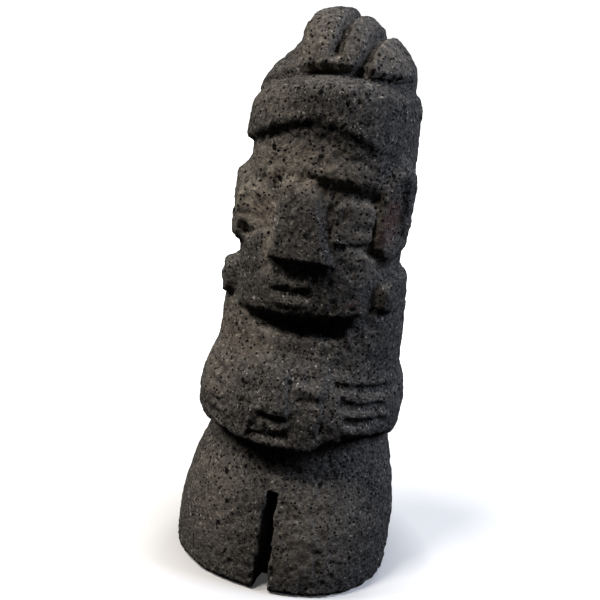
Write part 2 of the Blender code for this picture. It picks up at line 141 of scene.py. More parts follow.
foot = {
    "halfWidth": 0.0502, "front": 0.0455, "back": 0.0455, "square": 2.2, "edge": 0.0035,
    "shares": (1, 1, 0.983, 0.925, 0.84, 0.75), "widths": (1, 1, 1, 1, 0.995, 0.985), "topSide": 0.0024,
    "frontShares": (1, 1, 1, 0.995, 0.955, 0.86),
    "slotHalf": 0.0026, "slotShares": (1.2, 1, 0.85), "slotTop": 0.0466, "slotDepth": 0.0150, "slotSide": 0.0024,
    "slotLean": -0.012, "rearDepth": 0.0040,
    # the slot's walls wander to and fro as they climb: by how much, and over what height, twice
    "wander": ((0.0003, 0.0046, 0), (0.0002, 0.0019, 1)),
}


def legs(x, y, z):
    # an outline tapered upwards, less a slot in front and a shallow one behind
    halfWidth = foot["halfWidth"] * taper(z, 0, levels["belly"], *foot["widths"])
    inward = x - foot["topSide"] * (z / levels["belly"]) ** 2
    front = foot["front"] * taper(z, 0, levels["belly"], *foot["frontShares"])
    edge = outline(inward, y, halfWidth, front, foot["back"], foot["square"])
    edge = edge * taper(z, 0, levels["belly"], *foot["shares"])
    body = slab(np.hypot(inward, y) - edge, z, 0, levels["belly"] + soft["overlap"], foot["edge"])
    wander = sum(by * np.sin(z / over + start) for by, over, start in foot["wander"])
    half = foot["slotHalf"] * taper(z, 0, foot["slotTop"], *foot["slotShares"])
    across = np.abs(x - foot["slotSide"] - foot["slotLean"] * z + wander) - half
    below = z - foot["slotTop"]
    slot = np.maximum(np.maximum(across, y + foot["front"] - foot["slotDepth"]), below)
    rear = np.maximum(np.maximum(across, foot["back"] - foot["rearDepth"] - y), below)
    return cut(cut(body, slot, soft["fillet"]), rear, soft["fillet"])


smallMask = {
    "halfWidth": 0.0180, "height": 0.0330, "drop": 0.0058, "slope": 0.012, "rise": 0.0014, "rimSoft": 0.004,
    "noseSide": -0.0024, "noseHalf": 0.0064, "noseLow": 0.0105, "noseHigh": 0.0290, "noseRise": 0.0022,
    "noseShares": (1.15, 0.65), "lineShare": 0.68,
    # chisel lines: start and end as across and up, then half width and depth
    "lines": (
        ((-0.0197, 0.0265), (-0.0100, 0.0262), 0.0009, 0.0013),
        ((-0.0190, 0.0192), (-0.0140, 0.0174), 0.0010, 0.0014),
        ((-0.0124, 0.0225), (-0.0104, 0.0200), 0.0009, 0.0012),
        ((-0.0102, 0.0217), (-0.0124, 0.0134), 0.0010, 0.0013),
        ((0.0048, 0.0274), (0.0130, 0.0262), 0.0010, 0.0018),
        ((0.0082, 0.0180), (0.0172, 0.0184), 0.0011, 0.0019),
        ((-0.0100, 0.0106), (-0.0010, 0.0084), 0.0009, 0.0016),
        ((-0.0010, 0.0084), (0.0058, 0.0108), 0.0009, 0.0014),
        ((-0.0112, -0.0001), (0.0056, 0.0012), 0.0010, 0.0017),
        ((0.0186, 0.0100), (0.0190, 0.0046), 0.0009, 0.0016),
        ((-0.0165, 0.0120), (-0.0175, 0.0020), 0.0009, 0.0010),
    ),
    # raised lines: the same, with a height
    "ridges": (
        ((-0.0088, 0.0249), (-0.0132, -0.0020), 0.0011, 0.0011),
        ((0.0078, 0.0240), (0.0157, 0.0230), 0.0022, 0.0012),
        ((-0.0180, 0.0228), (-0.0140, 0.0222), 0.0018, 0.0008),
        ((0.0176, 0.0160), (0.0182, 0.0112), 0.0009, 0.0010),
        ((-0.0060, 0.0046), (0.0040, 0.0058), 0.0016, 0.0008),
        ((-0.0070, -0.0032), (0.0050, -0.0024), 0.0012, 0.0007),
    ),
}


def maskRelief(x, y, z):
    # a low plate, a nose on it that widens downwards, then chisel lines cut in and ridges left standing
    m = smallMask
    up = z - levels["belly"]
    rise = m["rise"] * window(x, m["halfWidth"], m["rimSoft"]) * (1 - above(up, m["height"], m["rimSoft"]))
    high = (up - m["noseLow"]) / (m["noseHigh"] - m["noseLow"])
    noseHalf = m["noseHalf"] * taper(high, 0, 1, *m["noseShares"])
    nose = above(up, m["noseLow"], soft["crisp"]) * window(x - m["noseSide"], noseHalf, soft["edge"])
    nose = nose * (1 - ramp(high, 0.75, 1.15))
    rise = rise + m["noseRise"] * nose
    for start, end, half, depth in m["lines"]:
        rise = rise - m["lineShare"] * depth * stroke(x, up, start, end, half, soft["cut"])
    for start, end, half, height in m["ridges"]:
        rise = rise + height * stroke(x, up, start, end, half, soft["cut"])
    return np.where(y < 0, rise, 0)


hands = {
    # chisel cuts between fingers: up from the belly's foot, first and last place round the stone, depth
    "right": ((0.0026, 0.0240, 0.0430, 0.0030), (0.0105, 0.0240, 0.0455, 0.0032),
              (0.0174, 0.0225, 0.0440, 0.0034), (0.0250, 0.0205, 0.0490, 0.0034)),
    "left": ((0.0078, 0.0200, 0.0290, 0.0016), (0.0150, 0.0230, 0.0330, 0.0016),
             (0.0205, 0.0240, 0.0360, 0.0014), (0.0020, 0.0230, 0.0330, 0.0012)),
    "reach": 0.0378, "fall": {"right": -0.14, "left": 0.06}, "cutHalf": 0.0013, "cutSoft": 0.0034,
}


def handCuts(z, side, along):
    # level grooves, each between two places round the stone, with the fingers standing a little proud
    up = z - levels["belly"]
    depth = 0
    for name, sign in (("right", 1), ("left", -1)):
        for level, start, end, deep in hands[name]:
            sag = level + hands["fall"][name] * (along - start)
            span = ramp(along, start - 0.0015, start + 0.0015) * (1 - ramp(along, end - 0.004, end + 0.002))
            depth = depth + deep * span * window(up - sag, hands["cutHalf"], hands["cutSoft"]) * (side == sign)
    return depth


bellyBlock = {
    "halfWidth": 0.0457, "front": 0.0437, "back": 0.0472, "square": 2.4, "edge": 0.0032,
    "shares": (1, 1.01, 0.98, 0.91, 0.80, 0.72), "lowDrop": 0.0046,
}


def belly(x, y, z, away, along):
    # a tapered block whose foot hangs low under the mask, at the left and behind
    b = bellyBlock
    edge = outline(x, y, b["halfWidth"], b["front"], b["back"], b["square"])
    edge = edge * taper(z, levels["belly"], levels["bellyTop"], *b["shares"])
    hang = smallMask["drop"] * window(x, smallMask["halfWidth"], smallMask["slope"]) * ramp(-y, 0, b["front"] / 2)
    behind = ramp(y, -b["front"] / 2, 0)
    left = ramp(-x, b["halfWidth"] / 4, b["halfWidth"] / 2)
    left = left * (1 - 0.6 * ramp(-x, 0.75 * b["halfWidth"], b["halfWidth"]))
    hang = hang + b["lowDrop"] * np.maximum(behind, left)
    beyond = away - edge - maskRelief(x, y, z) + handCuts(z, np.sign(x), along)
    return slab(beyond, z, levels["belly"] - hang, levels["bellyTop"], b["edge"])


chestBlock = {
    "halfWidth": 0.0398, "front": 0.0330, "back": 0.0410, "side": 0.0006, "square": 2.4, "edge": 0.004,
    "fillet": 0.004, "shares": (1.02, 1, 0.96),
    # hollow under the chin
    "hollowHalf": 0.0175, "hollowDepth": 0.0085, "hollowSlope": 0.0050, "hollowSoft": 0.012,
}


def chest(x, y, z):
    # a plain drum set back under the chin
    c = chestBlock
    across = x - c["side"]
    top = levels["chin"] + 2 * soft["overlap"]
    edge = outline(across, y, c["halfWidth"], c["front"], c["back"], c["square"])
    edge = edge * taper(z, levels["bellyTop"], top, *c["shares"])
    hollow = c["hollowDepth"] * window(x, c["hollowHalf"], c["hollowSoft"]) * (y < 0)
    hollow = hollow * ramp(z, levels["bellyTop"], levels["bellyTop"] + c["hollowSlope"])
    return slab(np.hypot(across, y) - edge + hollow, z, levels["bellyTop"] - 2 * soft["overlap"], top, c["edge"])


faceRelief = {
    "halfWidth": 0.0290, "browRise": 0.0025, "browUp": 0.0592, "browSlope": 0.0034, "browDrop": 0.0040,
    "leftBrowSoftness": 2.4,
    "cheekRise": 0.0026, "cheekUp": 0.0286, "cheekArch": 0.0150, "chinTilt": 0.08,
    "tipUp": 0.0250, "tipSide": -0.0006, "bridgeSide": -0.0042, "tipHalf": 0.0144, "bridgeHalf": 0.0072,
    "noseRise": 0.0078, "noseFlank": 0.0058,
    "eyeUp": 0.0432, "eyeOut": 0.0193, "eyeHalfWidth": 0.0076, "eyeHalfHeight": 0.0090, "eyeRise": 0.0026,
    "leftEyeOut": 0.0235, "leftEyeHalf": 0.0105, "leftEyeDown": 0.001,
    # hollow worn into the left eye
    "wornSide": -0.004, "wornDown": 0.0005, "wornHalfWidth": 0.0050, "wornHalfHeight": 0.0068, "wornDepth": 0.0013,
    "mouthUp": 0.0106, "mouthSide": -0.0030, "mouthHalf": 0.0122, "mouthTilt": 0.05,
    "slitHalf": 0.0006, "slitDepth": 0.0018, "slitSoft": 0.0018,
    "lipRise": 0.0012, "lipOff": 0.0042, "lipHalf": 0.0016, "lipSoft": 0.0034,
    # line between the face and the ear
    "seamRound": 43, "seamWide": 0.026, "seamSoft": 0.030, "seamDepth": 0.0002,
    "seamUp": 0.031, "seamHalf": 0.028, "seamEnds": 0.008,
}


def facePlanes(x, y, z):
    # brow and cheek ledges, a nose that widens downwards, a slab for the right eye and a worn dome for the left
    f = faceRelief
    up = z - levels["chin"]
    aside = np.clip(np.abs(x) / f["halfWidth"], 0, 1)
    wide = window(x, f["halfWidth"], 0.005)
    brow = f["browUp"] - f["browDrop"] * aside**2
    slope = f["browSlope"] * (1 + f["leftBrowSoftness"] * ramp(-x, 0.004, 0.013))
    rise = f["browRise"] * wide * ramp(up, brow - slope, brow + slope)
    cheek = f["cheekUp"] + f["cheekArch"] * (1 - aside)
    rise = rise + f["cheekRise"] * wide * (1 - above(up, cheek, soft["edge"]))
    high = (up - f["tipUp"]) / (f["browUp"] - f["tipUp"])
    half = taper(high, 0, 1, f["tipHalf"], f["bridgeHalf"])
    tall = taper(high, 0, 1, f["noseRise"], f["browRise"])
    side = taper(high, 0, 1, f["tipSide"], f["bridgeSide"])
    nose = window(x - side, half, f["noseFlank"]) * above(up, f["tipUp"], soft["crisp"])
    rise = np.maximum(rise, nose * tall * (1 - ramp(high, 0.9, 1.15)))
    rightEye = oval(x - f["eyeOut"], up - f["eyeUp"], f["eyeHalfWidth"], f["eyeHalfHeight"], 5)
    rise = rise + f["eyeRise"] * (1 - ramp(rightEye, 0.93, 1.04))
    across = x + f["leftEyeOut"]
    leftEye = oval(across, up - f["eyeUp"] + f["leftEyeDown"], f["leftEyeHalf"], f["leftEyeHalf"], 2.3)
    rise = rise + f["eyeRise"] * (1 - ramp(leftEye, 0.62, 1.12))
    worn = oval(across + f["wornSide"], up - f["eyeUp"] + f["wornDown"], f["wornHalfWidth"], f["wornHalfHeight"], 2)
    rise = rise - f["wornDepth"] * (1 - ramp(worn, 0.5, 1.2))
    lips = 1 - ramp(np.abs(x - f["mouthSide"]) / f["mouthHalf"], 0.45, 1)
    off = up - f["mouthUp"] - f["mouthTilt"] * (x - f["mouthSide"])
    upper = window(off - f["lipOff"], f["lipHalf"], f["lipSoft"])
    lower = window(off + f["lipOff"], f["lipHalf"], f["lipSoft"])
    rise = rise + f["lipRise"] * lips * (upper + lower)
    rise = rise - f["slitDepth"] * lips * window(off, f["slitHalf"], f["slitSoft"])
    return np.where(y < 0, rise, 0)


headBlock = {
    "halfWidth": 0.0352, "front": 0.0365, "back": 0.0370, "square": 2.4, "edge": 0.0024,
    "shares": (0.97, 0.985, 1, 0.99, 0.94), "frontShares": (0.97, 0.985, 1, 1, 1.005),
    "topSide": 0.0010, "topFrom": 0.040,
}

earPieces = {
    # round: degrees from the front; up and tilt: of its middle above the chin
    "round": 62, "up": 0.0439, "tilt": 0.094, "halfWidth": 0.0128, "halfHeight": 0.0205, "rightTaller": 0.12,
    "rise": 0.0046, "hollow": 0.0028, "hollowHalf": 0.0052, "hollowForward": 0.0020, "leftHollowShare": 0.3,
    "spoolRound": 67, "spoolUp": 0.0090, "spoolTilt": 0.05, "spoolHalf": 0.0088, "spoolRise": 0.0066,
    "knobRound": 60, "knobUp": 0.001, "knobHalf": 0.0030, "knobRise": 0.0010,
}


def earRelief(x, z, turn):
    # a tall rounded ear with a hollow in it, and below it a round spool with a small knob
    e = earPieces
    up = z - levels["chin"]
    arc = headBlock["halfWidth"] * (turn - math.radians(e["round"]))
    level = up - e["up"] - e["tilt"] * x
    halfHeight = e["halfHeight"] * (1 + e["rightTaller"] * np.sign(x))
    ear = oval(arc, level, e["halfWidth"], halfHeight, 2.6)
    inner = oval(arc + e["hollowForward"], level, e["hollowHalf"], 0.6 * halfHeight, 2.4)
    hollow = e["hollow"] * (1 - ramp(inner, 0.70, 1.15)) * np.where(x > 0, 1, e["leftHollowShare"])
    rise = e["rise"] * (1 - ramp(ear, 0.72, 1.08)) - hollow
    middle = up - e["spoolUp"] - e["spoolTilt"] * x
    arc = headBlock["halfWidth"] * (turn - math.radians(e["spoolRound"]))
    spool = oval(arc, middle, 1.1 * e["spoolHalf"], e["spoolHalf"], 2.8)
    arc = headBlock["halfWidth"] * (turn - math.radians(e["knobRound"]))
    knob = oval(arc, middle - e["knobUp"], e["knobHalf"], e["knobHalf"], 2)
    rise = rise + e["spoolRise"] * (1 - ramp(spool, 0.74, 1.12)) + e["knobRise"] * (1 - ramp(knob, 0.5, 1.3))
    return rise


def head(x, y, z, turn):
    # a drum from the tilted chin to under the band, with the face and ears standing out of it
    h = headBlock
    f = faceRelief
    across = x - h["topSide"] * ramp(z, levels["chin"] + h["topFrom"], levels["bandLow"])
    halfWidth = h["halfWidth"] * taper(z, levels["chin"], levels["bandLow"], *h["shares"])
    front = h["front"] * taper(z, levels["chin"], levels["bandLow"], *h["frontShares"])
    edge = outline(across, y, halfWidth, front, h["back"], h["square"])
    seam = window(turn - math.radians(f["seamRound"]), f["seamWide"], f["seamSoft"])
    seam = f["seamDepth"] * seam * window(z - levels["chin"] - f["seamUp"], f["seamHalf"], f["seamEnds"])
    beyond = np.hypot(across, y) - edge - facePlanes(x, y, z) - earRelief(x, z, turn) + seam
    return slab(beyond, z, levels["chin"] + f["chinTilt"] * x, levels["bandLow"] + soft["overlap"], h["edge"])


headBand = {
    "halfWidth": 0.0354, "side": -0.0011, "front": 0.0413, "back": 0.0395, "square": 2.6, "edge": 0.0055,
    "lowDrop": 0.0155, "arch": 1.4, "topDrop": 0.0100, "topTilt": 0.11, "taper": 0.03,
    "tierRound": 62, "tierCut": 0.0012, "tierUp": 0.0045, "tierHalf": 0.0008, "tierSoft": 0.0022,
}


def bandEdge(x, y, level, drop, arch):
    # height of an edge that is highest in front and falls by the drop to the sides and behind
    aside = np.abs(x) / headBand["halfWidth"]
    behind = 3 * np.maximum(y, 0) / headBand["back"]
    return level - drop * np.clip(aside**arch + behind, 0, 1)


def bandTop(x, y):
    # the band's upper edge, tilted across
    return bandEdge(x, y, levels["bandTop"], headBand["topDrop"], 2) + headBand["topTilt"] * x


def band(x, y, z, turn):
    # a padded roll arched over the face, with a level cut that makes a narrow tier at its sides
    b = headBand
    across = x - b["side"]
    low = bandEdge(x, y, levels["bandLow"], b["lowDrop"], b["arch"])
    high = bandTop(x, y)
    edge = outline(across, y, b["halfWidth"], b["front"], b["back"], b["square"])
    edge = edge * (1 - b["taper"] * np.clip((z - low) / (high - low), 0, 1))
    tier = b["tierCut"] * window(z - high + b["tierUp"], b["tierHalf"], b["tierSoft"])
    tier = tier * ramp(turn, math.radians(b["tierRound"] - 8), math.radians(b["tierRound"] + 6))
    return slab(np.hypot(across, y) - edge + tier, z, low, high, b["edge"])


crestFan = {
    "side": -0.0022, "reach": 0.0330, "halfLength": 0.0325, "square": 2.6,
    # share of the reach at each lean, in degrees from upright
    "leans": (-100, -72, -60, -47, -35, -22, 0, 26, 52, 72, 100),
    "shares": (1.05, 0.81, 0.735, 0.735, 0.89, 0.96, 0.98, 0.89, 0.935, 1.0, 0.97),
    # grooves between the lobes: start and end as across and height, half width, depth
    "grooves": (
        ((0.0016, 0.2375), (0.0024, 0.2600), 0.0018, 0.0048),
        ((0.0121, 0.2320), (0.0162, 0.2540), 0.0019, 0.0052),
    ),
    "leftEdge": -0.0128, "leftSetBack": 0.0048,
    "footCut": 0.0044, "footUp": 0.0024, "footHalf": 0.0018, "footSoft": 0.0013,
}


def crest(x, y, z):
    # lobes in a fan: the reach from the root changes with the lean, valleys run over it front to back, the
    # left lobe is set back in front, and a line is cut along its foot above the band
    c = crestFan
    across = x - c["side"]
    up = z - levels["crestRoot"]
    lean = np.degrees(np.arctan2(across, up))
    reach = c["reach"] * np.interp(lean, c["leans"], c["shares"])
    radial = np.hypot(across, up)
    share = (radial / reach) ** c["square"] + (np.abs(y) / c["halfLength"]) ** c["square"] + 1e-9
    body = (1 - share ** (-1 / c["square"])) * np.hypot(radial, y)
    for start, end, half, depth in c["grooves"]:
        body = body + depth * np.exp(-((offLine(x, z, start, end) / half) ** 2))
    setBack = c["leftSetBack"] * ramp(c["leftEdge"] - x, -0.0005, 0.0025) * ramp(-y, 0, 0.012)
    footLine = c["footCut"] * window(z - bandTop(x, y) - c["footUp"], c["footHalf"], c["footSoft"])
    return body + setBack + footLine * ramp(-y, 0, 0.016)


def carvedStone(points):
    # distance outside the stone: the parts above in smooth union, in a frame that leans sideways with height
    y, z = points[..., 1], points[..., 2]
    x = points[..., 0] - levels["lean"] * z
    away = np.hypot(x, y)
    turn = np.abs(np.arctan2(x, -y))
    stone = join(legs(x, y, z), belly(x, y, z, away, hands["reach"] * turn), soft["fillet"])
    stone = join(stone, chest(x, y, z), chestBlock["fillet"])
    stone = join(stone, head(x, y, z, turn), soft["fillet"])
    stone = join(stone, band(x, y, z, turn), soft["fillet"])
    return join(stone, crest(x, y, z), soft["fillet"])


# points round the stone, rows up its side and over its top, and rounds of evening out
net = {"columns": 384, "sideRows": 200, "topRows": 56, "rounds": 8, "crowding": 0.42, "farOut": 0.068}


def drawnIn(starts, ways):
    # first crossing into the stone along each way from far out, by 64 even steps and then by halving
    nearest = 0.002
    outside = np.full(starts.shape[:2], net["farOut"])
    inside = np.full(starts.shape[:2], nearest)
    found = np.zeros(starts.shape[:2], bool)
    for step in np.linspace(net["farOut"], nearest, 64)[1:]:
        hit = (carvedStone(starts + step * ways) < 0) & ~found
        inside[hit] = step
        found |= hit
        outside[~found] = step
    for _ in range(10):
        middle = (outside + inside) / 2
        deep = carvedStone(starts + middle[..., None] * ways) < 0
        inside = np.where(deep, middle, inside)
        outside = np.where(deep, outside, middle)
    return starts + outside[..., None] * ways


def slopeOf(points, value):
    # gradient of carvedStone by small steps along each axis
    step = 0.00005
    return np.stack([(carvedStone(points + step * axis) - value) / step for axis in np.eye(3)], axis=-1)


def ontoStone(points):
    # two Newton steps along the gradient
    for _ in range(2):
        value = carvedStone(points)
        slope = slopeOf(points, value)
        size = np.maximum((slope**2).sum(-1), 0.25)
        points = points - np.clip(value / size, -0.0015, 0.0015)[..., None] * slope
    return points


def netOnStone():
    # level rays at the sides and a fan over the top, then each point pulled to its neighbours' middle
    # within the surface and set back onto the stone
    turn = 2 * math.pi * np.linspace(0, 1, net["columns"], endpoint=False)
    angle = turn - 0.5 * math.pi - net["crowding"] * np.sin(turn)
    centre = levels["crestRoot"] - soft["overlap"]
    height = np.linspace(0.0001, centre, net["sideRows"], endpoint=False)
    height = np.concatenate([height, np.full(net["topRows"], centre)])[:, None]
    climb = np.linspace(0, 0.5 * math.pi, net["topRows"], endpoint=False)
    lift = np.concatenate([np.zeros(net["sideRows"]), climb])[:, None]
    ways = np.stack([np.cos(lift) * np.cos(angle), np.cos(lift) * np.sin(angle), np.sin(lift) + 0 * angle], axis=-1)
    starts = np.zeros_like(ways)
    starts[..., 2] = height
    points = drawnIn(starts, ways)
    crown = drawnIn(starts[-1:, :1], np.array([[[0.0, 0.0, 1.0]]]))[0, 0]
    for _ in range(net["rounds"]):
        around = np.roll(points, 1, axis=1) + np.roll(points, -1, axis=1)
        higher = np.concatenate([points[1:], np.broadcast_to(crown, points[:1].shape)])
        lower = np.concatenate([points[:1], points[:-1]])
        pull = 0.5 * ((around + higher + lower) / 4 - points)
        slope = slopeOf(points, carvedStone(points))
        slope = slope / np.maximum(np.linalg.norm(slope, axis=-1, keepdims=True), 1e-6)
        moved = ontoStone(points + pull - (pull * slope).sum(-1, keepdims=True) * slope)
        moved[0] = points[0]
        moved[1:, :, 2] = np.maximum(moved[1:, :, 2], 0.0002)
        points = moved
    points[0, :, 2] = 0
    return points, crown


# wear of the surface goes inwards, so that the stone stays within the size it was cut to
seed = np.random.default_rng(7)
latticeSize = 32
lattice = seed.random((latticeSize, latticeSize, latticeSize))


def lump(points, size, shift=0.0):
    # smooth value noise from 0 to 1: random numbers on a lattice of the given spacing, blended cubically
    place = points / size + shift
    low = np.floor(place).astype(int)
    share = place - low
    share = share * share * (3 - 2 * share)
    total = 0
    for corner in range(8):
        offset = np.array([corner & 1, corner >> 1 & 1, corner >> 2 & 1])
        index = (low + offset) % latticeSize
        weight = np.prod(np.where(offset == 1, share, 1 - share), axis=-1)
        total = total + weight * lattice[index[..., 0], index[..., 1], index[..., 2]]
    return total


wear = {
    "swell": 0.0005,                        # the smooth form stands proud by this before it is worn
    "waves": 0.0005, "waveSize": 0.0085,    # unevenness left by hand cutting
    "dents": 0.0006, "dentSize": 0.0030,    # dents and bruises
    "grain": 0.0006, "grainSize": 0.0016,   # open rough grain
    "pits": 170, "pitRadius": (0.0006, 0.0011), "pitDepth": 0.0011, "patchDeeper": 1.3,
    "chips": 60, "chipRadius": (0.0012, 0.0030), "chipDepth": 0.0007,
    "openReaches": (0.0015, 0.004, 0.009),  # how far out the openness of a place is felt for
}
# places where the stone is more open: centre, reach, count and largest radius, in metres
porePatches = (
    ((0.0105, -0.0270, 0.2385), 0.0034, 9, 0.0015),
    ((0.0125, -0.0395, 0.2180), 0.0026, 4, 0.0012),
    ((-0.0160, -0.0330, 0.1710), 0.0060, 14, 0.0011),
    ((0.0240, -0.0310, 0.1358), 0.0020, 3, 0.0013),
    ((0.0150, -0.0270, 0.2440), 0.0060, 5, 0.0010),
)


def pitted(points):
    # round pits and shallow chips: each takes a rounded bowl out of the points within its radius
    depth = np.zeros(len(points))
    picked = seed.choice(len(points), wear["pits"] + wear["chips"], replace=False)
    radii = np.concatenate([
        seed.uniform(*wear["pitRadius"], wear["pits"]), seed.uniform(*wear["chipRadius"], wear["chips"])])
    depths = np.concatenate([np.full(wear["pits"], wear["pitDepth"]), np.full(wear["chips"], wear["chipDepth"])])
    centres = points[picked]
    for middle, reach, count, largest in porePatches:
        centres = np.concatenate([centres, middle + seed.normal(0, reach / 2, (count, 3))])
        radii = np.concatenate([radii, seed.uniform(0.5, 1, count) * largest])
        depths = np.concatenate([depths, np.full(count, wear["patchDeeper"] * wear["pitDepth"])])
    for centre, radius, deep in zip(centres, radii, depths):
        near = np.abs(points[:, 2] - centre[2]) < 1.3 * radius
        away = np.linalg.norm(points[near] - centre, axis=-1) / radius
        bowl = deep * min(1, radius / 0.001) * (1 - ramp(away, 0.35, 1.15))
        depth[near] = np.maximum(depth[near], bowl)
    return depth


# where residue lies: centre across and up in metres, half width, half height, strength
residuePatches = {
    "dust": (
        (-0.004, 0.191, 0.028, 0.012, 1.0), (-0.026, 0.172, 0.013, 0.015, 1.0), (-0.006, 0.240, 0.018, 0.014, 0.4),
        (0.026, 0.166, 0.010, 0.020, 0.6), (-0.024, 0.116, 0.020, 0.014, 0.6), (-0.015, 0.158, 0.004, 0.016, 0.9),
        (-0.034, 0.095, 0.014, 0.014, 0.4), (-0.028, 0.035, 0.020, 0.030, 0.35), (0.022, 0.030, 0.022, 0.024, 0.45),
        (0.020, 0.240, 0.012, 0.012, 0.3), (-0.020, 0.215, 0.016, 0.008, 0.3)),
    "rust": (
        (0.0325, 0.172, 0.0035, 0.012, 0.9), (-0.020, 0.171, 0.007, 0.008, 0.4), (0.024, 0.136, 0.004, 0.003, 0.6),
        (-0.026, 0.112, 0.014, 0.007, 0.3)),
}


def residues(points):
    # soft oval patches on the front, as shares from 0 to 1
    x = points[:, 0] - levels["lean"] * points[:, 2]
    found = []
    for name in ("dust", "rust"):
        share = np.zeros(len(points))
        for across, up, halfWidth, halfHeight, strength in residuePatches[name]:
            away = oval(x - across, points[:, 2] - up, halfWidth, halfHeight, 2)
            share = np.maximum(share, strength * (1 - ramp(away, 0.4, 1.3)))
        found.append(share * ramp(-points[:, 1], -0.004, 0.010))
    return found


def buildStatue():
    # the net less its wear along its normals, closed by rings and a middle point underneath and by a point on
    # top; openness for painted shade, and dust and rust, go with each point as shares for the material
    points, crown = netOnStone()
    rows, columns = points.shape[:2]
    print("statue net drawn", rows, "by", columns)
    normals = slopeOf(points, carvedStone(points))
    normals = normals / np.maximum(np.linalg.norm(normals, axis=-1, keepdims=True), 1e-6)
    flat = points.reshape(-1, 3)
    normals = normals.reshape(-1, 3)
    # openness: how far off the stone a step outwards is, from the smooth form; low in cuts and under ledges, where
    # the material darkens the stone with it as painted shade
    openness = np.zeros(len(flat))
    for reach in wear["openReaches"]:
        openness += np.clip(carvedStone(flat + reach * normals) / reach, 0, 1) / len(wear["openReaches"])
    depth = wear["waves"] * lump(flat, wear["waveSize"])
    depth = depth + wear["dents"] * ramp(lump(flat, wear["dentSize"], 5.3), 0.50, 0.80)
    depth = depth + wear["grain"] * lump(flat, wear["grainSize"], 2.7)
    depth = depth + pitted(flat) - wear["swell"]
    depth = depth * ramp(flat[:, 2], 0, 0.0006)
    dust, rust = residues(flat)
    worn = flat - depth[:, None] * normals
    worn[:, 2] = np.maximum(worn[:, 2], 0)
    shares = np.linspace(0, 1, 5)[1:-1]
    underside = (shares[:, None, None] * worn[:columns]).reshape(-1, 3)
    everything = np.concatenate([underside, worn, [[0, 0, 0]], [crown - [0, 0, 0.0006]]])
    everything[:, :2] -= (everything.min(axis=0)[:2] + everything.max(axis=0)[:2]) / 2
    everything = np.clip(everything, np.array(cadLow), np.array(cadHigh))
    numbers = np.arange(len(everything) - 2).reshape(-1, columns)
    following = np.roll(numbers, -1, axis=1)
    quads = np.stack([numbers[:-1], following[:-1], following[1:], numbers[1:]], axis=-1).reshape(-1, 4)
    footPoint = np.full(columns, len(everything) - 2)
    crownPoint = np.full(columns, len(everything) - 1)
    under = np.stack([following[0], numbers[0], footPoint], axis=1)
    over = np.stack([numbers[-1], following[-1], crownPoint], axis=1)
    mesh = bpy.data.meshes.new("idol")
    mesh.from_pydata(everything.tolist(), [], quads.tolist() + under.tolist() + over.tolist())
    mesh.shade_smooth()
    for name, values in (("openness", openness), ("dust", dust), ("rust", rust)):
        values = np.concatenate([np.full(len(underside), values.mean()), values, [values.mean()] * 2])
        attribute = mesh.attributes.new(name, "FLOAT", "POINT")
        attribute.data.foreach_set("value", values.astype(np.float32))
    piece = bpy.data.objects.new("idol", mesh)
    bpy.context.collection.objects.link(piece)
    return piece


# materials

def linear(code):
    # sRGB hex to linear colour
    parts = [int(code[i:i + 2], 16) / 255 for i in (0, 2, 4)]
    return tuple([p / 12.92 if p <= 0.04045 else ((p + 0.055) / 1.055) ** 2.4 for p in parts] + [1])


def addNode(tree, kind, settings, links):
    # one node: settings are its properties and socket values, links feed its inputs
    node = tree.nodes.new(kind)
    for name, value in settings.items():
        if isinstance(name, str) and hasattr(node, name):
            setattr(node, name, value)
        else:
            node.inputs[name].default_value = value
    for name, source in links.items():
        tree.links.new(source, node.inputs[name])
    return node


stoneLook = {
    "ground": "333130",      # dark grey body of the stone
    "light": "6d6a65",       # rubbed grains that catch the light
    "speck": "b9b4aa",       # small pale mineral grains
    "dust": "9a9184",        # tan dust settled on the forehead, the sockets and the crest
    "rust": "5b3a31",        # red brown residue in the ear hollow and on the left eye
    "dark": "070708",        # painted shade: black inside the pores, in deep cuts and under ledges
    "roughness": 0.95, "specular": 0.2,
    # colours laid over the ground in turn: metres between grains, then detail, roughness and distortion of
    # the noise, the values of it that the colour starts and is full at, its least and most share, and what
    # it is kept to
    "layers": (
        ("light", 0.0014, 3.0, 0.75, 0.0, 0.41, 0.61, 0.0, 1.0, ""),
        ("ground", 0.012, 3.0, 0.6, 0.0, 0.42, 0.70, 0.0, 0.45, ""),
        ("dust", 0.0026, 3.0, 0.7, 0.0, 0.34, 0.60, 0.1, 0.85, "dust"),
        ("rust", 0.0040, 3.0, 0.7, 0.0, 0.36, 0.60, 0.1, 0.85, "rust"),
        ("speck", 0.0013, 1.0, 0.5, 0.4, 0.665, 0.73, 0.0, 0.75, ""),
    ),
    # cut bubbles: metres from one to the next, how rare, and the largest radius as a share of that. The finest
    # real ones, 0.3 mm, are drawn about 0.6 mm wide, as a pixel of the render is about 0.45 mm
    "bubbles": ((0.0016, 0.34, 0.42), (0.0050, 0.62, 0.34)),
    "openPatchSize": 0.014, "raggedSize": 0.0007, "raggedBy": 0.0011,
    "grainHeight": 0.5, "bumpStrength": 0.75, "bumpDepth": 0.0006,
}


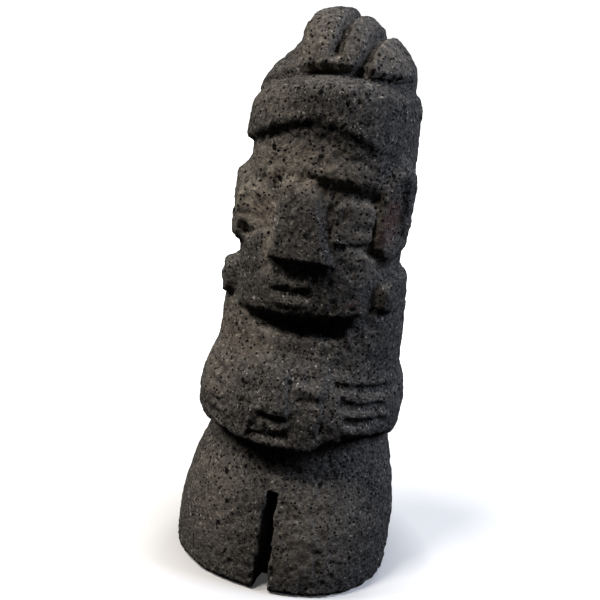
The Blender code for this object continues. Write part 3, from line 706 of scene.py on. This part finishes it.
def lavaStone():
    # vesicular basalt, hand cut and left rough: matt and grainy, with ragged pores, pale specks,
    # and dust where nobody rubs it off; the pores' black and the dark in deep cuts and under ledges are painted
    # shade
    look = stoneLook
    material = bpy.data.materials.new("hand cut vesicular lava stone")
    material.use_nodes = True
    tree = material.node_tree
    shader = tree.nodes["Principled BSDF"]
    shader.inputs["Roughness"].default_value = look["roughness"]
    shader.inputs["Specular IOR Level"].default_value = look["specular"]
    place = addNode(tree, "ShaderNodeTexCoord", {}, {}).outputs["Object"]

    # gas bubbles cut open: in each cell of a net a hole whose size is drawn by lot, none in most cells, and
    # more and larger ones where a broad noise says that the stone is open; the outlines are a little ragged
    broad = addNode(tree, "ShaderNodeTexNoise", {"Scale": 1 / look["openPatchSize"]}, {"Vector": place})
    crowding = addNode(tree, "ShaderNodeMapRange", {1: 0.35, 2: 0.65, 3: -0.10, 4: 0.12}, {0: broad.outputs[0]})
    jitter = addNode(tree, "ShaderNodeTexNoise", {"Scale": 1 / look["raggedSize"], "Detail": 1.0}, {"Vector": place})
    shaken = addNode(tree, "ShaderNodeVectorMath", {"operation": "SCALE", "Scale": look["raggedBy"]},
                     {0: jitter.outputs[1]})
    ragged = addNode(tree, "ShaderNodeVectorMath", {"operation": "ADD"}, {0: place, 1: shaken.outputs[0]})
    sets = []
    for size, rarity, largest in look["bubbles"]:
        cells = addNode(tree, "ShaderNodeTexVoronoi", {"Scale": 1 / size}, {"Vector": ragged.outputs[0]})
        lot = addNode(tree, "ShaderNodeMath", {"operation": "ADD"},
                      {0: cells.outputs["Color"], 1: crowding.outputs[0]})
        radius = addNode(tree, "ShaderNodeMapRange", {1: rarity, 2: rarity + 0.35, 3: 0.0, 4: largest},
                         {0: lot.outputs[0]})
        off = addNode(tree, "ShaderNodeMath", {"operation": "SUBTRACT"},
                      {0: cells.outputs["Distance"], 1: radius.outputs[0]})
        hole = addNode(tree, "ShaderNodeMapRange", {1: -0.10, 2: 0.0, 3: 1.0, 4: 0.0}, {0: off.outputs[0]})
        sets.append(hole.outputs[0])
    pores = addNode(tree, "ShaderNodeMath", {"operation": "MAXIMUM"}, {0: sets[0], 1: sets[1]}).outputs[0]

    # colour: each layer over what lies under it, as far as its noise and its place on the stone let it show
    under = {}
    shown = {}
    for name, size, detail, rough, distort, low, high, least, most, keptTo in look["layers"]:
        settings = {"Scale": 1 / size, "Detail": detail, "Roughness": rough, "Distortion": distort}
        noise = addNode(tree, "ShaderNodeTexNoise", settings, {"Vector": place})
        settings = {1: low, 2: high, 3: least, 4: most}
        share = addNode(tree, "ShaderNodeMapRange", settings, {0: noise.outputs[0]}).outputs[0]
        if keptTo:
            limit = addNode(tree, "ShaderNodeAttribute", {"attribute_name": keptTo}, {}).outputs["Fac"]
            share = addNode(tree, "ShaderNodeMath", {"operation": "MULTIPLY"}, {0: limit, 1: share}).outputs[0]
        shown[name] = share
        settings = {"data_type": "RGBA", 6: linear(look["ground"]), 7: linear(look[name])}
        mix = addNode(tree, "ShaderNodeMix", settings, {0: share, **under})
        under = {6: mix.outputs[2]}
    # painted shade: dark in deep cuts and under ledges, where the smooth form leaves little open, and black inside
    # the pores
    openness = addNode(tree, "ShaderNodeAttribute", {"attribute_name": "openness"}, {}).outputs["Fac"]
    # painted shade: the less open a place, the more of the dark colour it gets, up to a half
    paintedShade = addNode(tree, "ShaderNodeMapRange", {1: 0.10, 2: 0.62, 3: 0.50, 4: 0.0}, {0: openness}).outputs[0]
    for share in (paintedShade, pores):
        mix = addNode(tree, "ShaderNodeMix", {"data_type": "RGBA", 7: linear(look["dark"])}, {0: share, **under})
        under = {6: mix.outputs[2]}
    tree.links.new(mix.outputs[2], shader.inputs["Base Color"])

    # height: grains stand up, pores go down
    settings = {"operation": "MULTIPLY", 1: look["grainHeight"]}
    grains = addNode(tree, "ShaderNodeMath", settings, {0: shown["light"]})
    height = addNode(tree, "ShaderNodeMath", {"operation": "SUBTRACT"}, {0: grains.outputs[0], 1: pores})
    settings = {"Strength": look["bumpStrength"], "Distance": look["bumpDepth"]}
    bump = addNode(tree, "ShaderNodeBump", settings, {"Height": height.outputs[0]})
    tree.links.new(bump.outputs[0], shader.inputs["Normal"])
    return material


studio = {
    "floorSize": 14.0, "floorColour": "e4e4e4", "floorRoughness": 0.9,
    # painted light: strength of the paper's glow at the nearer and the farther of two distances from the figure
    "floorGlow": (0.40, 1.1), "glowReach": (0.10, 0.42),
    # painted shade: close to the figure's foot the glow falls to a small share, which greys the floor round the foot
    # like a contact shadow, so that the shadow of its foot shows
    "footShadeShare": 0.1, "footShadeReach": (0.046, 0.075),
    # name: place, aim, size, power in watts, colour
    "lamps": {
        "key": ((-0.42, -0.66, 1.54), (0, 0, 0.14), 0.26, 14.5, "fff9f2"),
        "left": ((-1.05, -0.45, 1.20), (0, 0, 0.14), 0.40, 12.5, "fff9f2"),
        "side": ((1.10, 0.10, 1.00), (0, 0, 0.12), 0.50, 14.0, "dce6fc"),
        "back": ((0.20, 1.20, 1.10), (0, 0, 0.12), 0.60, 6.0, "ffffff"),
    },
    "sky": 0.012, "backdrop": 1.2,
}


def paleFloor():
    # matt white studio paper with painted light: it glows from within, more away from the figure, and is dimmed to
    # painted shade round the figure's foot, so that little but that and the figure's own shadow greys it
    material = bpy.data.materials.new("white studio paper with painted glow and painted foot shade")
    material.use_nodes = True
    shader = material.node_tree.nodes["Principled BSDF"]
    shader.inputs["Base Color"].default_value = linear(studio["floorColour"])
    shader.inputs["Roughness"].default_value = studio["floorRoughness"]
    shader.inputs["Specular IOR Level"].default_value = 0.0
    shader.inputs["Emission Color"].default_value = linear("ffffff")
    # painted light: the glow rises with distance from the figure
    tree = material.node_tree
    place = addNode(tree, "ShaderNodeTexCoord", {}, {}).outputs["Object"]
    away = addNode(tree, "ShaderNodeVectorMath", {"operation": "LENGTH"}, {0: place}).outputs["Value"]
    near, far = studio["glowReach"]
    low, high = studio["floorGlow"]
    glow = addNode(tree, "ShaderNodeMapRange", {1: near, 2: far, 3: low, 4: high}, {0: away}).outputs[0]
    # painted shade round the foot: the glow is dimmed to a small share close to it
    near, far = studio["footShadeReach"]
    settings = {1: near, 2: far, 3: studio["footShadeShare"], 4: 1.0}
    footShade = addNode(tree, "ShaderNodeMapRange", settings, {0: away}).outputs[0]
    glow = addNode(tree, "ShaderNodeMath", {"operation": "MULTIPLY"}, {0: glow, 1: footShade}).outputs[0]
    tree.links.new(glow, shader.inputs["Emission Strength"])
    return material


# the statue on the floor, under its lamps
statue = buildStatue()
statue.data.materials.append(lavaStone())
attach(statue, "root")
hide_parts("statue")
print("statue dressed,", len(statue.data.polygons), "faces")

half = studio["floorSize"] / 2
floorMesh = bpy.data.meshes.new("studio floor")
floorMesh.from_pydata([(-half, -half, 0), (half, -half, 0), (half, half, 0), (-half, half, 0)], [], [(0, 1, 2, 3)])
floor = bpy.data.objects.new("studio floor", floorMesh)
floorMesh.materials.append(paleFloor())
bpy.context.collection.objects.link(floor)
floor.visible_diffuse = False
floor.visible_glossy = False

for name, (place, aim, size, power, tint) in studio["lamps"].items():
    data = bpy.data.lights.new(name, "AREA")
    data.size = size
    data.energy = power
    data.color = linear(tint)[:3]
    lamp = bpy.data.objects.new(name, data)
    lamp.location = place
    lamp.rotation_euler = (Vector(aim) - Vector(place)).to_track_quat("-Z", "Y").to_euler()
    bpy.context.collection.objects.link(lamp)

# a white backdrop that itself gives almost no light, so that ledges keep their deep shadows
world = bpy.data.worlds.new("studio")
world.use_nodes = True
backdrop = world.node_tree.nodes["Background"]
backdrop.inputs["Color"].default_value = linear("ffffff")
ray = addNode(world.node_tree, "ShaderNodeLightPath", {}, {})
settings = {3: studio["sky"], 4: studio["backdrop"]}
strength = addNode(world.node_tree, "ShaderNodeMapRange", settings, {0: ray.outputs["Is Camera Ray"]})
world.node_tree.links.new(strength.outputs[0], backdrop.inputs["Strength"])
bpy.context.scene.world = world
bpy.context.scene.view_settings.view_transform = "Standard"
print("floor and lights set")

# camera: degrees round from the front, distance and height in metres, roll and view in degrees
shot = {"round": 12.34, "away": 0.4572, "height": 0.27432, "roll": 7.0, "view": 31.458,
        "aim": (-0.00559, 0.000134, 0.124015)}
turned = math.radians(shot["round"])
eye = Vector((shot["away"] * math.sin(turned), -shot["away"] * math.cos(turned), shot["height"]))
ahead = (Vector(shot["aim"]) - eye).normalized()
right = ahead.cross(Vector((0, 0, 1))).normalized()
upward = right.cross(ahead)
tilt = math.radians(shot["roll"])
upward = upward * math.cos(tilt) - right * math.sin(tilt)
right = ahead.cross(upward)
placed = Matrix((right, upward, -ahead)).transposed().to_4x4()
placed.translation = eye
lens = bpy.data.cameras.new("camera")
lens.lens_unit = "FOV"
lens.angle = math.radians(shot["view"])
camera = bpy.data.objects.new("camera", lens)
camera.matrix_world = placed
bpy.context.collection.objects.link(camera)
bpy.context.scene.camera = camera
print("camera set")
